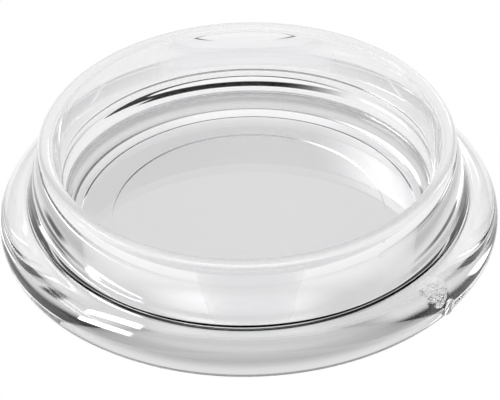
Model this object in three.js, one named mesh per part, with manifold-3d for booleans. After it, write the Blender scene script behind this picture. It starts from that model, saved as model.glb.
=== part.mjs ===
// A clear caster cup: a thick round dish that stands under the caster or foot of a piece of furniture,
// spreads its load and keeps it from rolling. One moulding, with no moving pieces.
// Millimetres, +Z up. The origin is on the cup's axis, in the plane that it stands on.

import * as THREE from 'three';
import { mergeVertices } from 'three/addons/utils/BufferGeometryUtils.js';
import Module from 'manifold-3d';

// Foot ring
const ringDiameter = 66; // across its widest line, the widest part of the cup
const ringHeight = 5.2; // base plane to the top of the ring
const ringWidestHeight = 1.6; // height of the widest line
const ringRoundWidth = 4.0; // how far the round over the ring reaches in from the widest line
const ringLowerRadius = 1.2; // round under the widest line, down to the base
const ringReach = 3.8; // how far the ring stands out of the wall's foot

// Wall and rim
const wallFootDiameter = ringDiameter - 2 * ringReach; // outside of the wall where it meets the ring's top
const wallFilletRadius = 1.0; // cove between the wall and the ring's top
const coveReach = 1.3; // how far out of the wall's foot the ring's round begins
const cupHeight = 13.9; // base plane to the top of the rim
const wallLean = 1.8; // how far the wall's outside leans in, from its foot to the rim
const rimDiameter = wallFootDiameter - 2 * wallLean; // outside of the rim
const rimThickness = 2.0; // the rim is a full round of this thickness

// Floor
const wallFootThickness = 6.0; // from the floor's edge out to the wall's foot
const floorDiameter = wallFootDiameter - 2 * wallFootThickness; // inside of the wall at the floor
const floorHeight = 1.9; // top of the floor above the base plane
const floorCornerRadius = 0.4; // inside corner between the floor and the wall
const floorThickness = 1.55; // at the middle of the floor

// Underside, hollowed so that the cup stands on its ring
const recessInset = 0.7; // how far the hollow's mouth lies inside the floor's edge
const recessDiameter = floorDiameter - 2 * recessInset; // mouth of the hollow
const recessDraft = 0.2; // how far the hollow's side leans in
const padInset = 4.35; // from the hollow's mouth in to its step
const padDiameter = recessDiameter - 2 * padInset; // round step in the hollow
const padStep = 0.25; // height of that step

// Trimmed gate, where the plastic flowed into the mould
const gateAngle = THREE.MathUtils.degToRad(-40); // place round the ring, from +X towards +Y
const gateDiameter = 2.2;
const gateProud = 0.05; // how far the trimmed face stands out of the ring's edge
const gateRoot = 2.0; // how far the gate reaches back into the ring

// How finely the rounds are cut
const turnSegments = 72;
const ringSteps = 10;
const lowerSteps = 6;
const rimSteps = 10;
const filletSteps = 5;
const cornerSteps = 3;
const gateSegments = 20;

const clearPlastic = new THREE.MeshStandardMaterial({
  color: 0xe9ecec,
  roughness: 0.05,
  metalness: 0,
  transparent: true,
  opacity: 0.35,
});

// Points along an arc about (x, y), both ends included
function arcPoints(x, y, radius, start, end, steps) {
  const points = [];
  for (let i = 0; i <= steps; i += 1) {
    const angle = start + ((end - start) * i) / steps;
    points.push(new THREE.Vector2(x + radius * Math.cos(angle), y + radius * Math.sin(angle)));
  }
  return points;
}

// Height of the round over the ring at a distance from the axis
function ringRoundHeight(distance) {
  const along = (distance - ringDiameter / 2 + ringRoundWidth) / ringRoundWidth;
  return ringWidestHeight + (ringHeight - ringWidestHeight) * Math.sqrt(1 - along * along);
}

// The round over the ring, from its widest line up to a distance from the axis
function ringRound(innerDistance) {
  const points = [];
  const centre = ringDiameter / 2 - ringRoundWidth;
  const end = Math.acos((innerDistance - centre) / ringRoundWidth);
  for (let i = 0; i <= ringSteps; i += 1) {
    const distance = centre + ringRoundWidth * Math.cos((end * i) / ringSteps);
    points.push(new THREE.Vector2(distance, ringRoundHeight(distance)));
  }
  return points;
}

// Angle at which a line from a point touches a circle, on the side that the sign picks
function tangentAngle(point, centre, radius, side) {
  const away = point.clone().sub(centre);
  return away.angle() + side * Math.acos(radius / away.length());
}

// Arc that rounds the corner between two straight edges. It is limited to the edges' own lengths
function roundedCorner(before, corner, after, radius, steps) {
  const toBefore = before.clone().sub(corner);
  const toAfter = after.clone().sub(corner);
  const shorter = Math.min(toBefore.length(), toAfter.length());
  toBefore.normalize();
  toAfter.normalize();
  const half = Math.acos(toBefore.dot(toAfter)) / 2;
  const fitted = Math.min(radius, shorter * Math.tan(half));
  const setback = fitted / Math.tan(half);
  const middle = toBefore.clone().add(toAfter).normalize();
  const centre = corner.clone().addScaledVector(middle, fitted / Math.sin(half));
  const start = corner.clone().addScaledVector(toBefore, setback).sub(centre).angle();
  const end = corner.clone().addScaledVector(toAfter, setback).sub(centre).angle();
  let sweep = end - start;
  if (sweep > Math.PI) sweep -= 2 * Math.PI;
  if (sweep < -Math.PI) sweep += 2 * Math.PI;
  return arcPoints(centre.x, centre.y, fitted, start, start + sweep, steps);
}

// Half section of the cup, from the axis under the floor, round the outside, to the axis on the floor
function cupSection() {
  const lowerCentre = ringDiameter / 2 - ringLowerRadius;
  const wallFootDistance = wallFootDiameter / 2;
  const rimRadius = rimThickness / 2;
  const rimCentre = new THREE.Vector2(rimDiameter / 2 - rimRadius, cupHeight - rimRadius);
  const wallFoot = new THREE.Vector2(wallFootDistance, ringRoundHeight(wallFootDistance));
  const round = ringRound(wallFootDistance + coveReach);
  const floorCorner = new THREE.Vector2(floorDiameter / 2, floorHeight);
  const floorMiddle = new THREE.Vector2(0, floorHeight);
  const recessTop = floorHeight - floorThickness;

  const rimStart = tangentAngle(wallFoot, rimCentre, rimRadius, 1) - 2 * Math.PI;
  const rimEnd = tangentAngle(floorCorner, rimCentre, rimRadius, -1);
  const rim = arcPoints(rimCentre.x, rimCentre.y, rimRadius, rimStart, rimEnd, rimSteps);

  return [
    new THREE.Vector2(0, recessTop),
    new THREE.Vector2(padDiameter / 2, recessTop),
    new THREE.Vector2(padDiameter / 2, recessTop - padStep),
    new THREE.Vector2(recessDiameter / 2 - recessDraft, recessTop - padStep),
    new THREE.Vector2(recessDiameter / 2, 0),
    ...arcPoints(lowerCentre, ringLowerRadius, ringLowerRadius, -Math.PI / 2, 0, lowerSteps),
    ...round,
    ...roundedCorner(round[round.length - 1], wallFoot, rim[0], wallFilletRadius, filletSteps),
    ...rim,
    ...roundedCorner(rim[rim.length - 1], floorCorner, floorMiddle, floorCornerRadius, cornerSteps),
    floorMiddle,
  ];
}

// The turned body. The lathe turns about its own Y axis, so it is stood up along +Z
function turnedBody() {
  const body = new THREE.LatheGeometry(cupSection(), turnSegments);
  body.rotateX(Math.PI / 2);
  return body;
}

// Round stub at the ring's widest line, pointing out along the gate's direction
function gateStub() {
  const length = gateRoot + gateProud;
  const stub = new THREE.CylinderGeometry(gateDiameter / 2, gateDiameter / 2, length, gateSegments);
  stub.rotateZ(-Math.PI / 2);
  stub.translate(ringDiameter / 2 + gateProud - length / 2, 0, ringWidestHeight);
  stub.rotateZ(gateAngle);
  return stub;
}

const wasm = await Module();
wasm.setup();

function toSolid(geometry) {
  geometry.deleteAttribute('normal');
  geometry.deleteAttribute('uv');
  const merged = mergeVertices(geometry, 1e-4);
  const vertProperties = new Float32Array(merged.attributes.position.array);
  const triVerts = new Uint32Array(merged.index.array);
  return new wasm.Manifold(new wasm.Mesh({ numProp: 3, vertProperties, triVerts }));
}

function toGeometry(solid) {
  const mesh = solid.getMesh();
  const geometry = new THREE.BufferGeometry();
  geometry.setAttribute('position', new THREE.BufferAttribute(mesh.vertProperties, 3));
  geometry.setIndex(new THREE.BufferAttribute(mesh.triVerts, 1));
  geometry.computeVertexNormals();
  return geometry;
}

const cup = new THREE.Mesh(toGeometry(toSolid(turnedBody()).add(toSolid(gateStub()))), clearPlastic);
cup.name = 'cup';

const casterCup = new THREE.Group();
casterCup.add(cup);

export default casterCup;
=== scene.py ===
# %% [markdown]
# # A clear caster cup
# The real cup is one thick piece of clear plastic, moulded in one shot. A furniture caster or foot stands on
# its floor, and the broad ring round its foot spreads the load. This lesson loads the solid model as a frame,
# turns a finer cup in its place, gives it a clear plastic finish, and lights it as a small product on white.

# %% Load the frame
import math

import bpy
from mathutils import Matrix, Vector


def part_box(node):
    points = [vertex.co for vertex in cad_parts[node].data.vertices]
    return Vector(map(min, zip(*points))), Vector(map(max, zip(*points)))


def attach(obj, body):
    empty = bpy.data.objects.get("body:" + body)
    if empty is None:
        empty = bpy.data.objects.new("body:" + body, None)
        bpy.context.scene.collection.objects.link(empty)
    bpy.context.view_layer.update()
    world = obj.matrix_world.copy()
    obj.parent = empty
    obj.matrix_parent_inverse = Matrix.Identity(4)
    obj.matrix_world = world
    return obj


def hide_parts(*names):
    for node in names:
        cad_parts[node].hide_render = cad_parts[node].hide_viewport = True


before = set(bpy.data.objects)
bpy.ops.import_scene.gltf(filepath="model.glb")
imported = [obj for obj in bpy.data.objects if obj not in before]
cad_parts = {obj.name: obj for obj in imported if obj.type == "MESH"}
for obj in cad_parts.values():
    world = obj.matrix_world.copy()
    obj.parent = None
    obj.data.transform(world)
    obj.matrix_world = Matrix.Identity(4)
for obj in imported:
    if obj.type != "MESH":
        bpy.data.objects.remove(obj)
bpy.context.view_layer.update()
mm = 0.001
cup_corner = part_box("cup")[1]
ring_radius = cup_corner.x / mm
cup_height = cup_corner.z / mm
print(f"ring {2 * ring_radius:.2f} mm across, cup {cup_height:.2f} mm high")

# %% [markdown]
# ## The section
# A turned piece is known from half of its section. All sizes are millimetres, and most were read off the real
# cup's circles as shares of the ring. The section could be drawn point by point, but only its corners matter:
# the rounds between them are arcs, worked out here by two small functions. One gives points along an arc or a
# squashed arc. The other rounds the corner between two straight lines.

# %% Arcs and rounded corners
def arc(centre, across, up, start, end, steps):
    turns = [math.radians(start + (end - start) * i / steps) for i in range(steps + 1)]
    return [Vector((centre[0] + across * math.cos(t), centre[1] + up * math.sin(t))) for t in turns]


def rounded(before, corner, after, radius, steps):
    to_before = (before - corner).normalized()
    to_after = (after - corner).normalized()
    half = to_before.angle(to_after) / 2
    centre = corner + (to_before + to_after).normalized() * radius / math.sin(half)
    first = corner + to_before * radius / math.tan(half) - centre
    last = corner + to_after * radius / math.tan(half) - centre
    start = math.degrees(math.atan2(first.y, first.x))
    sweep = math.degrees(math.atan2(last.y, last.x)) - start
    sweep = (sweep + 180) % 360 - 180
    return arc(centre, radius, radius, start, start + sweep, steps)


print("arcs ready")

# %% [markdown]
# ## The foot ring
# The ring is a low dome with its widest line near the floor, so that a shoe glides over it. Under that line a
# small round leads down to the flat foot. The dome is a quarter of an ellipse, which ends a little way out of
# the wall, where the cove begins.

# %% Ring outline
ring_top = 5.2
widest_line = 1.6
dome_width = 4.0
lower_round = 1.2
ring_reach = 3.8
cove_reach = 1.3

wall_foot = ring_radius - ring_reach
dome_height = ring_top - widest_line
dome_centre = Vector((ring_radius - dome_width, widest_line))


def dome_level(distance):
    share = (distance - dome_centre.x) / dome_width
    return widest_line + dome_height * math.sqrt(1 - share ** 2)


dome_end = math.degrees(math.acos((wall_foot + cove_reach - dome_centre.x) / dome_width))
foot_round = arc((ring_radius - lower_round, lower_round), lower_round, lower_round, -90, 0, steps=20)
dome = arc(dome_centre, dome_width, dome_height, 0, dome_end, steps=44)
print(f"dome from {dome[0].x:.1f} mm to {dome[-1].x:.1f} mm off the axis")

# %% [markdown]
# ## Wall, rim and floor
# The wall leans in as it rises, on both sides, so that the cup leaves its mould. Its rim is a full round. A
# cove joins the wall to the ring, and a small fillet joins it to the floor. The straight sides are tangents
# of the rim, so the angles where the rim starts and ends come from the points that they are drawn to.

# %% Wall outline
cove_radius = 1.0
wall_lean = 1.8
wall_foot_thickness = 6.0
rim_radius = 1.0
floor_top = 1.9
floor_fillet = 0.4

floor_radius = wall_foot - wall_foot_thickness
rim_centre = Vector((wall_foot - wall_lean - rim_radius, cup_height - rim_radius))
foot_corner = Vector((wall_foot, dome_level(wall_foot)))
floor_corner = Vector((floor_radius, floor_top))
floor_middle = Vector((0, floor_top))


def touch_angle(point, side):
    away = point - rim_centre
    return math.degrees(math.atan2(away.y, away.x) + side * math.acos(rim_radius / away.length))


rim_start = touch_angle(foot_corner, 1)
rim_end = touch_angle(floor_corner, -1) + 360
rim = arc(rim_centre, rim_radius, rim_radius, rim_start, rim_end, steps=44)
cove = rounded(dome[-1], foot_corner, rim[0], cove_radius, steps=16)
floor_edge = rounded(rim[-1], floor_corner, floor_middle, floor_fillet, steps=12)
print(f"wall from {wall_foot:.1f} mm at its foot to {rim[0].x:.1f} mm under the rim")

# %% [markdown]
# ## The underside
# The cup stands on its ring alone. Inside the ring the underside is hollowed by a hair, in two flat levels.
# Seen through the clear floor from above, the edges of these levels are the thin arcs on the real cup.

# %% Underside outline
recess_inset = 0.7
recess_lean = 0.2
recess_top = 0.35
level_inset = 4.35
level_step = 0.25

recess_radius = floor_radius - recess_inset
level_radius = recess_radius - level_inset
underside = [
    Vector((0, recess_top)),
    Vector((level_radius, recess_top)),
    Vector((level_radius, recess_top - level_step)),
    Vector((recess_radius - recess_lean, recess_top - level_step)),
    Vector((recess_radius, 0)),
]
corners = underside + foot_round + dome + cove + rim + floor_edge + [floor_middle]
print(f"{len(corners)} points in the half section")

# %% [markdown]
# ## Holding points
# Smooth shading spreads the tilt of a round over the whole of a wide flat face beside it, and clear plastic
# would show that as a lens. A point close to each end of every long straight run keeps the tilt at the end.

# %% Add holding points
hold = 0.15


def with_holds(points):
    held = []
    for here, there in zip(points, points[1:]):
        held.append(here)
        run = there - here
        if run.length > 4 * hold:
            held.append(here + run * hold / run.length)
            held.append(there - run * hold / run.length)
    return held + [points[-1]]


section = with_holds(corners)
print(f"{len(section)} points with the holding points")

# %% [markdown]
# ## Turning the cup
# By hand, the section is drawn by pulling one point along it, then spun once round the axis. A small plane
# gives the first point. Its corners are merged, the point is moved to the start, and each extrude draws the
# next line. Spin leaves the seam and the two poles doubled, so doubles are merged before the faces are turned
# outwards.

# %% Draw the section and spin it
turn_steps = 288
merge_distance = 0.001

bpy.ops.object.select_all(action="DESELECT")
bpy.ops.mesh.primitive_plane_add(size=mm)
cup = bpy.context.object
cup.name = "clear_cup"
bpy.ops.object.mode_set(mode="EDIT")
bpy.ops.mesh.merge(type="CENTER")
bpy.ops.transform.translate(value=(section[0].x * mm, 0, section[0].y * mm))
for here, there in zip(section, section[1:]):
    step = ((there.x - here.x) * mm, 0, (there.y - here.y) * mm)
    bpy.ops.mesh.extrude_region_move(TRANSFORM_OT_translate={"value": step})
bpy.ops.mesh.select_all(action="SELECT")
bpy.ops.mesh.spin(steps=turn_steps, angle=2 * math.pi, center=(0, 0, 0), axis=(0, 0, 1))
bpy.ops.mesh.select_all(action="SELECT")
bpy.ops.mesh.remove_doubles(threshold=merge_distance * mm)
bpy.ops.mesh.normals_make_consistent(inside=False)
bpy.ops.object.mode_set(mode="OBJECT")
print(f"cup turned: {len(cup.data.polygons)} faces")

# %% [markdown]
# ## The gate mark
# The plastic ran into the mould through a gate at the ring's widest line. Where it was trimmed, a small round
# face stands a hair out of the ring. First a cylinder is made along +X, and its front edge is rounded.

# %% Make the trimmed gate
gate_turn = -40
gate_radius = 1.1
gate_proud = 0.05
gate_root = 2.0
gate_soften = 0.03

gate_length = gate_root + gate_proud
bpy.ops.object.select_all(action="DESELECT")
bpy.ops.mesh.primitive_cylinder_add(
    vertices=48,
    radius=gate_radius * mm,
    depth=gate_length * mm,
    location=((ring_radius + gate_proud - gate_length / 2) * mm, 0, widest_line * mm),
    rotation=(0, math.pi / 2, 0),
)
gate = bpy.context.object
bpy.ops.object.transform_apply(location=True, rotation=True, scale=True)
bpy.ops.object.mode_set(mode="EDIT")
bpy.ops.mesh.select_all(action="DESELECT")
bpy.ops.object.mode_set(mode="OBJECT")
for edge in gate.data.edges:
    ends = [gate.data.vertices[v].co.x for v in edge.vertices]
    edge.select = min(ends) > ring_radius * mm
bpy.ops.object.mode_set(mode="EDIT")
bpy.ops.mesh.select_mode(type="EDGE")
bpy.ops.mesh.bevel(offset=gate_soften * mm, segments=3, affect="EDGES")
bpy.ops.object.mode_set(mode="OBJECT")
print(f"gate: {len(gate.data.polygons)} faces")

# %% [markdown]
# The gate is turned to its place and joined to the cup by a boolean, so that no wall is left inside the clear
# plastic. Then the rounds are shaded smooth, and the few real edges stay sharp.

# %% Join the gate to the cup
smooth_below = 22

gate.rotation_euler.z = math.radians(gate_turn)
bpy.ops.object.transform_apply(location=False, rotation=True, scale=False)
bpy.ops.object.select_all(action="DESELECT")
bpy.context.view_layer.objects.active = cup
cup.select_set(True)
join = cup.modifiers.new("join_gate", "BOOLEAN")
join.operation = "UNION"
join.solver = "EXACT"
join.object = gate
bpy.ops.object.modifier_apply(modifier=join.name)
bpy.data.objects.remove(gate)
bpy.ops.object.shade_smooth_by_angle(angle=math.radians(smooth_below))
print(f"gate joined: {len(cup.data.polygons)} faces")

# %% [markdown]
# ## Materials
# Colours are written as sRGB hex values, as a colour picker shows them, and one function turns them to the
# linear numbers that the shader works in. One small function adds a node with its settings and links. A
# number stands for a socket where a node has several of one name.

# %% Colour and node helpers
def linear(hex_colour):
    parts = [int(hex_colour[i:i + 2], 16) / 255 for i in (1, 3, 5)]
    return tuple(p / 12.92 if p <= 0.04045 else ((p + 0.055) / 1.055) ** 2.4 for p in parts) + (1.0,)


def add_node(tree, kind, settings=None, links=None):
    node = tree.nodes.new(kind)
    for key, value in (settings or {}).items():
        if isinstance(key, str) and hasattr(node, key):
            setattr(node, key, value)
        else:
            node.inputs[key].default_value = value
    for socket, source in (links or {}).items():
        tree.links.new(source, node.inputs[socket])
    return node


print("white is", linear("#ffffff")[:3])

# %% [markdown]
# ## Clear acrylic
# The cup is moulded acrylic, polished by the mould and a little cool in tone. It is clear right through, so
# its look comes from bending light: refraction at a typical index of 1.49, and dark and bright lines where
# light is turned back inside.

# %% Clear acrylic
acrylic = bpy.data.materials.new("moulded_clear_acrylic")
acrylic.use_nodes = True
tree = acrylic.node_tree
shader = tree.nodes["Principled BSDF"]
shader.inputs["Base Color"].default_value = linear("#fdfdfe")
shader.inputs["IOR"].default_value = 1.49
shader.inputs["Transmission Weight"].default_value = 1.0
print("finish:", acrylic.name)

# %% [markdown]
# Moulded plastic is never quite flat. A slow ripple, left by the plastic's flow and shrinkage, breaks the
# dark and bright lines up. Faint scuffs from handling dull the gloss by a little, only where their noise is
# high.

# %% Flow ripple and scuffs
ripple_size = 7.0
ripple_height = 0.004
scuff_size = 2.5
scuff_from = 0.5
scuff_full = 0.8
scuff_roughness = 0.04

place = add_node(tree, "ShaderNodeTexCoord").outputs["Object"]
ripple_noise = add_node(
    tree, "ShaderNodeTexNoise",
    {"Scale": 1 / (ripple_size * mm), "Detail": 1.0, "Roughness": 0.4},
    {"Vector": place},
)
ripple = add_node(
    tree, "ShaderNodeBump",
    {"Strength": 1.0, "Distance": ripple_height * mm},
    {"Height": ripple_noise.outputs["Fac"]},
)
scuff_noise = add_node(
    tree, "ShaderNodeTexNoise",
    {"Scale": 1 / (scuff_size * mm), "Detail": 4.0, "Roughness": 0.7},
    {"Vector": place},
)
gloss = add_node(
    tree, "ShaderNodeMapRange",
    {"From Min": scuff_from, "From Max": scuff_full, "To Min": 0.0, "To Max": scuff_roughness},
    {"Value": scuff_noise.outputs["Fac"]},
)
tree.links.new(gloss.outputs["Result"], shader.inputs["Roughness"])
print(f"ripple {ripple_size} mm long, scuffs {scuff_size} mm")

# %% [markdown]
# Over the gate the plastic was torn, not polished, so a rough relief fades out from a spot on the ring's
# shoulder. It is laid on top of the ripple. It is too fine for the mesh, so it is part of the finish.

# %% Torn scar over the gate
scar_turn = -42.5
scar_inset = 1.4
scar_core = 1.2
scar_reach = 2.4
torn_size = 0.9
torn_height = 0.4

scar_distance = ring_radius - scar_inset
scar_spot = Vector((scar_distance, 0, dome_level(scar_distance))) * mm
scar_spot.rotate(Matrix.Rotation(math.radians(scar_turn), 3, "Z"))
from_scar = add_node(tree, "ShaderNodeVectorMath", {"operation": "DISTANCE", 1: scar_spot}, {0: place})
scar = add_node(
    tree, "ShaderNodeMapRange",
    {"interpolation_type": "SMOOTHSTEP", "From Min": scar_reach * mm, "From Max": scar_core * mm},
    {"Value": from_scar.outputs["Value"]},
)
torn_noise = add_node(
    tree, "ShaderNodeTexNoise",
    {"Scale": 1 / (torn_size * mm), "Detail": 3.0, "Roughness": 0.6},
    {"Vector": place},
)
lumps = add_node(
    tree, "ShaderNodeMath",
    {"operation": "MULTIPLY"},
    {0: torn_noise.outputs["Fac"], 1: scar.outputs["Result"]},
)
torn = add_node(
    tree, "ShaderNodeBump",
    {"Strength": 1.0, "Distance": torn_height * mm},
    {"Height": lumps.outputs[0], "Normal": ripple.outputs["Normal"]},
)
tree.links.new(torn.outputs["Normal"], shader.inputs["Normal"])
print(f"scar {2 * scar_reach} mm across")

# %% [markdown]
# The turned cup takes this finish, rides on the model's one body and stands in for the solid cup.

# %% Dress the cup
cup.data.materials.clear()
cup.data.materials.append(acrylic)
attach(cup, "root")
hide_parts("cup")
print("dressed:", cup.name)

# %% [markdown]
# ## The board
# The cup stands on plain white board, which is matte, like paper. The board lies a hair under the foot,
# because two faces in one plane would fight, and the foot would turn dark.

# %% White board
board_gap = 0.08
board_size = 4000


def matte_paper(name, colour):
    paper = bpy.data.materials.new(name)
    paper.use_nodes = True
    matte = paper.node_tree.nodes["Principled BSDF"]
    matte.inputs["Base Color"].default_value = linear(colour)
    matte.inputs["Roughness"].default_value = 0.9
    matte.inputs["Specular IOR Level"].default_value = 0.0
    return paper


bpy.ops.object.select_all(action="DESELECT")
bpy.ops.mesh.primitive_plane_add(size=board_size * mm, location=(0, 0, -board_gap * mm))
board = bpy.context.object
board.name = "white_board"
board_paper = matte_paper("white_board_paper", "#f0f0f1")
board.data.materials.append(board_paper)
print("board:", board.name)

# %% [markdown]
# A camera ray sees the board as pure white, as in a cut-out. Rays that the plastic mirrors or bends see a mix
# of that white and the board's real light and shade. Less of the white is mixed in on a disc under the floor
# of the cup, set a little towards the front: a painted shadow of the cup, with more white out beyond the
# wall.
# Light Path tells these rays apart. A bent ray can count as mirrored too, so the larger of the two is taken.

# %% Board as the rays see it
# Painted shadow: less white on a disc under the cup's floor, set a little towards the front.
painted_shadow_middle = Vector((0, -4, 0))
painted_shadow_inner = 24
painted_shadow_outer = 28
white_in_painted_shadow = 0.57
white_beyond_wall = 0.86

tree = board_paper.node_tree
ray = add_node(tree, "ShaderNodeLightPath").outputs
mirrored_or_bent = add_node(
    tree, "ShaderNodeMath",
    {"operation": "MAXIMUM"},
    {0: ray["Is Glossy Ray"], 1: ray["Is Transmission Ray"]},
)
place = add_node(tree, "ShaderNodeTexCoord").outputs["Object"]
from_middle = add_node(
    tree, "ShaderNodeVectorMath",
    {"operation": "DISTANCE", 1: painted_shadow_middle * mm},
    {0: place},
)
white_share_with_painted_shadow = add_node(
    tree, "ShaderNodeMapRange",
    {
        "interpolation_type": "SMOOTHSTEP",
        "From Min": painted_shadow_inner * mm,
        "From Max": painted_shadow_outer * mm,
        "To Min": white_in_painted_shadow,
        "To Max": white_beyond_wall,
    },
    {"Value": from_middle.outputs["Value"]},
)
white_share = add_node(
    tree, "ShaderNodeMath",
    {"operation": "MULTIPLY_ADD"},
    {0: mirrored_or_bent.outputs[0], 1: white_share_with_painted_shadow.outputs["Result"], 2: ray["Is Camera Ray"]},
)
white = add_node(tree, "ShaderNodeEmission", {"Color": (1, 1, 1, 1), "Strength": 1.0})
seen = add_node(
    tree, "ShaderNodeMixShader",
    None,
    {0: white_share.outputs[0], 1: tree.nodes["Principled BSDF"].outputs[0], 2: white.outputs[0]},
)
tree.links.new(seen.outputs[0], tree.nodes["Material Output"].inputs["Surface"])
print(f"white through the plastic: {white_in_painted_shadow} to {white_beyond_wall}")

# %% [markdown]
# ## Painted contact shadow
# A black arc on a sheet just over the board, behind the ring, is a painted shadow of the ring on the board.
# The round under the ring stretches this hair of painted shadow into the broad dark band in the back of the
# wall. The sheet is hidden from the camera, which sees only what the plastic bends.

# %% Sheet for the painted shadow
# A black sheet that carries the painted contact shadow of the ring.
shadow_line_sheet_size = 90

bpy.ops.object.select_all(action="DESELECT")
bpy.ops.mesh.primitive_plane_add(size=shadow_line_sheet_size * mm, location=(0, 0, -board_gap * mm / 2))
shadow_line_sheet = bpy.context.object
shadow_line_sheet.name = "painted_shadow_line"
shadow_line_sheet.visible_camera = False
shadow_line_paint = matte_paper("painted_shadow_line_black", "#050505")
shadow_line_sheet.data.materials.append(shadow_line_paint)
print("flag:", shadow_line_sheet.name)

# %% [markdown]
# The sheet is clear all over except on the painted-shadow arc behind the ring. A cut strip would do, but its
# ends would show, so the arc is faded on its two sides and along its length, and the three fades are
# multiplied.

# %% Soft arc of painted shadow behind the ring
# Painted shadow: a black arc just behind the ring, standing in for its contact shadow on the board.
shadow_line_gap = 1.28
shadow_line_width = 0.28
shadow_line_soft = 0.04
shadow_line_turn = math.radians(104)
shadow_line_spread = math.radians(46)

shadow_line_inner = ring_radius + shadow_line_gap
shadow_line_outer = shadow_line_inner + shadow_line_width
tree = shadow_line_paint.node_tree
place = add_node(tree, "ShaderNodeTexCoord").outputs["Object"]
off_axis = add_node(tree, "ShaderNodeVectorMath", {"operation": "LENGTH"}, {0: place})
outward = add_node(tree, "ShaderNodeVectorMath", {"operation": "NORMALIZE"}, {0: place})
towards_shadow_line = add_node(
    tree, "ShaderNodeVectorMath",
    {"operation": "DOT_PRODUCT", 1: (math.cos(shadow_line_turn), math.sin(shadow_line_turn), 0)},
    {0: outward.outputs["Vector"]},
)
fades = [
    (off_axis, (shadow_line_inner - shadow_line_soft) * mm, shadow_line_inner * mm),
    (off_axis, (shadow_line_outer + shadow_line_soft) * mm, shadow_line_outer * mm),
    (towards_shadow_line, math.cos(shadow_line_spread), math.cos(shadow_line_spread / 2)),
]
strip = None
for source, nothing, full in fades:
    fade = add_node(
        tree, "ShaderNodeMapRange",
        {"interpolation_type": "SMOOTHSTEP", "From Min": nothing, "From Max": full},
        {"Value": source.outputs["Value"]},
    ).outputs["Result"]
    if strip:
        fade = add_node(tree, "ShaderNodeMath", {"operation": "MULTIPLY"}, {0: strip, 1: fade}).outputs[0]
    strip = fade
clear = add_node(tree, "ShaderNodeBsdfTransparent")
cut_out = add_node(
    tree, "ShaderNodeMixShader",
    None,
    {0: strip, 1: clear.outputs[0], 2: tree.nodes["Principled BSDF"].outputs[0]},
)
tree.links.new(cut_out.outputs[0], tree.nodes["Material Output"].inputs["Surface"])
print(f"strip {shadow_line_width} mm wide, {shadow_line_gap} mm behind the ring")

# %% [markdown]
# ## The room
# A clear thing shows its surroundings more than its own surface. The room is pale above and behind and dark
# low down and towards the camera, and those dark parts draw the black lines in the ring and the wall. Two
# ramps give its grey, one by height and one from front to back, and they are multiplied.

# %% Room
room_by_height = [
    (0.0, 0.02), (0.38, 0.04), (0.45, 0.6), (0.52, 0.75), (0.6, 0.68),
    (0.69, 0.5), (0.82, 0.55), (0.94, 0.65), (1.0, 0.62),
]
room_front_to_back = [(0.0, 0.35), (0.35, 0.6), (0.5, 1.0), (1.0, 1.0)]


def set_greys(ramp, stops):
    ramp.elements.remove(ramp.elements[1])
    for i, (position, grey) in enumerate(stops):
        stop = ramp.elements[0] if i == 0 else ramp.elements.new(position)
        stop.position = position
        stop.color = (grey, grey, grey, 1)


room = bpy.data.worlds.new("pale_room")
bpy.context.scene.world = room
room.use_nodes = True
tree = room.node_tree
direction = add_node(tree, "ShaderNodeTexCoord").outputs["Generated"]
axes = add_node(tree, "ShaderNodeSeparateXYZ", None, {"Vector": direction})
depth = add_node(
    tree, "ShaderNodeMapRange",
    {"From Min": -1.0, "From Max": 1.0},
    {"Value": axes.outputs["Y"]},
)
by_height = add_node(tree, "ShaderNodeValToRGB", None, {"Fac": axes.outputs["Z"]})
by_depth = add_node(tree, "ShaderNodeValToRGB", None, {"Fac": depth.outputs["Result"]})
set_greys(by_height.color_ramp, room_by_height)
set_greys(by_depth.color_ramp, room_front_to_back)
room_grey = add_node(
    tree, "ShaderNodeMath",
    {"operation": "MULTIPLY"},
    {0: by_height.outputs["Color"], 1: by_depth.outputs["Color"]},
)
tree.links.new(room_grey.outputs[0], tree.nodes["Background"].inputs["Color"])
tree.nodes["Background"].inputs["Strength"].default_value = 1.0
print("room:", room.name)

# %% [markdown]
# ## Panels
# Panels with soft edges stand round the cup, placed by turn and rise in degrees and sized in metres. Lamps
# could do the same, but a sheet's edges can be faded, and the plastic shows every edge.

# %% Panel sheets
half_sheet = 0.5


def panel_cloth(name, strength, soft):
    cloth = bpy.data.materials.new(name)
    cloth.use_nodes = True
    tree = cloth.node_tree
    tree.nodes.clear()
    place = add_node(tree, "ShaderNodeTexCoord").outputs["Object"]
    from_middle = add_node(tree, "ShaderNodeVectorMath", {"operation": "ABSOLUTE"}, {0: place})
    sides = add_node(tree, "ShaderNodeSeparateXYZ", None, {"Vector": from_middle.outputs["Vector"]})
    within = add_node(tree, "ShaderNodeMath", {"operation": "MULTIPLY"})
    for i, axis in enumerate("XY"):
        edge = add_node(
            tree, "ShaderNodeMapRange",
            {"interpolation_type": "SMOOTHSTEP", "From Min": half_sheet, "From Max": half_sheet - soft},
            {"Value": sides.outputs[axis]},
        )
        tree.links.new(edge.outputs["Result"], within.inputs[i])
    clear = add_node(tree, "ShaderNodeBsdfTransparent").outputs[0]
    shine = add_node(tree, "ShaderNodeEmission", {"Color": (1, 1, 1, 1), "Strength": strength}).outputs[0]
    faded = add_node(tree, "ShaderNodeMixShader", None, {0: within.outputs[0], 1: clear, 2: shine})
    add_node(tree, "ShaderNodeOutputMaterial", None, {"Surface": faded.outputs[0]})
    return cloth


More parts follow.
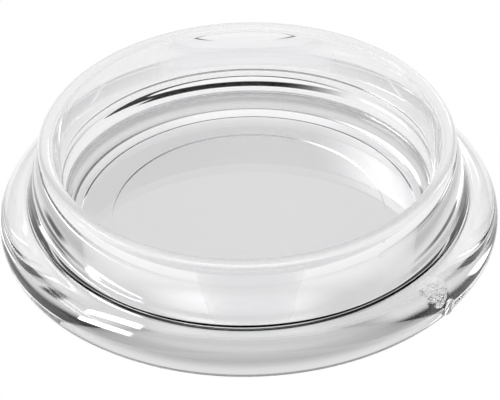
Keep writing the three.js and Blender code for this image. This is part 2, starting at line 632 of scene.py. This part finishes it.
def panel(name, turn, rise, away, width, height, strength, soft):
    aim = Vector((1, 0, 0))
    aim.rotate(Matrix.Rotation(math.radians(-rise), 3, "Y"))
    aim.rotate(Matrix.Rotation(math.radians(turn), 3, "Z"))
    bpy.ops.object.select_all(action="DESELECT")
    bpy.ops.mesh.primitive_plane_add(size=2 * half_sheet)
    sheet = bpy.context.object
    sheet.name = name
    sheet.scale = (width, height, 1)
    sheet.rotation_mode = "QUATERNION"
    sheet.rotation_quaternion = aim.to_track_quat("Z", "Y")
    sheet.location = aim * away
    sheet.data.materials.append(panel_cloth(name, strength, soft))
    sheet.visible_camera = False
    print(f"{name}: {width} x {height} m")


print("panels ready")

# %% [markdown]
# Two narrow strips on the left make the pairs of short bright strokes. A softbox behind on the right lights
# the floor's far corner, a wide one above the front fills the ring, and a dark card behind on the left draws
# the dark patch in the ring's left end.

# %% Place the panels
panel("left_strip_low", turn=184, rise=26, away=1.0, width=0.62, height=0.08, strength=5.0, soft=0.1)
panel("left_strip_high", turn=184, rise=36, away=1.0, width=0.62, height=0.09, strength=5.0, soft=0.1)
panel("back_right_softbox", turn=70, rise=22, away=1.2, width=0.6, height=0.3, strength=5.0, soft=0.4)
panel("front_top_softbox", turn=262, rise=54, away=1.2, width=2.4, height=0.9, strength=2.6, soft=0.45)
panel("dark_card", turn=132, rise=35, away=1.0, width=0.44, height=0.2, strength=0.0, soft=0.35)

# %% [markdown]
# ## Camera
# The real picture looks down on the cup by 37 degrees, from about twelve ring radii away, through a long lens
# that keeps the circles close to true ellipses. It was held with a slight roll. The lens is worked out for a
# picture 500 pixels wide on a 36 mm sensor.

# %% Camera
look_down = math.radians(37.01)
look_away = 12.61 * ring_radius
look_level = 2.8
look_at = Vector((0.2, 0, 3.43))
roll = math.radians(-1.27)
sensor = 36.0
focal_pixels = 3137
picture_width = 500

eye = Vector((0, -math.cos(look_down), math.sin(look_down))) * look_away + Vector((0, 0, look_level))
facing = (look_at - eye).to_track_quat("-Z", "Y").to_matrix().to_4x4()
camera = bpy.data.objects.new("camera", bpy.data.cameras.new("camera"))
bpy.context.scene.collection.objects.link(camera)
camera.matrix_world = Matrix.Translation(eye * mm) @ facing @ Matrix.Rotation(roll, 4, "Z")
camera.data.sensor_width = sensor
camera.data.lens = focal_pixels / picture_width * sensor
camera.data.clip_start = 0.01
bpy.context.scene.camera = camera
print(f"lens {camera.data.lens:.0f} mm")

# %% [markdown]
# ## Light inside the plastic
# Light is turned back many times inside the ring before it leaves, so more bounces are allowed than usual:
# with too few of them, the ring's edge goes black. The plain view transform keeps the board's white at pure
# white.

# %% Bounces and view
bpy.context.scene.cycles.glossy_bounces = 8
bpy.context.scene.cycles.max_bounces = 16
bpy.context.scene.view_settings.view_transform = "Standard"
print(f"{bpy.context.scene.cycles.max_bounces} bounces")
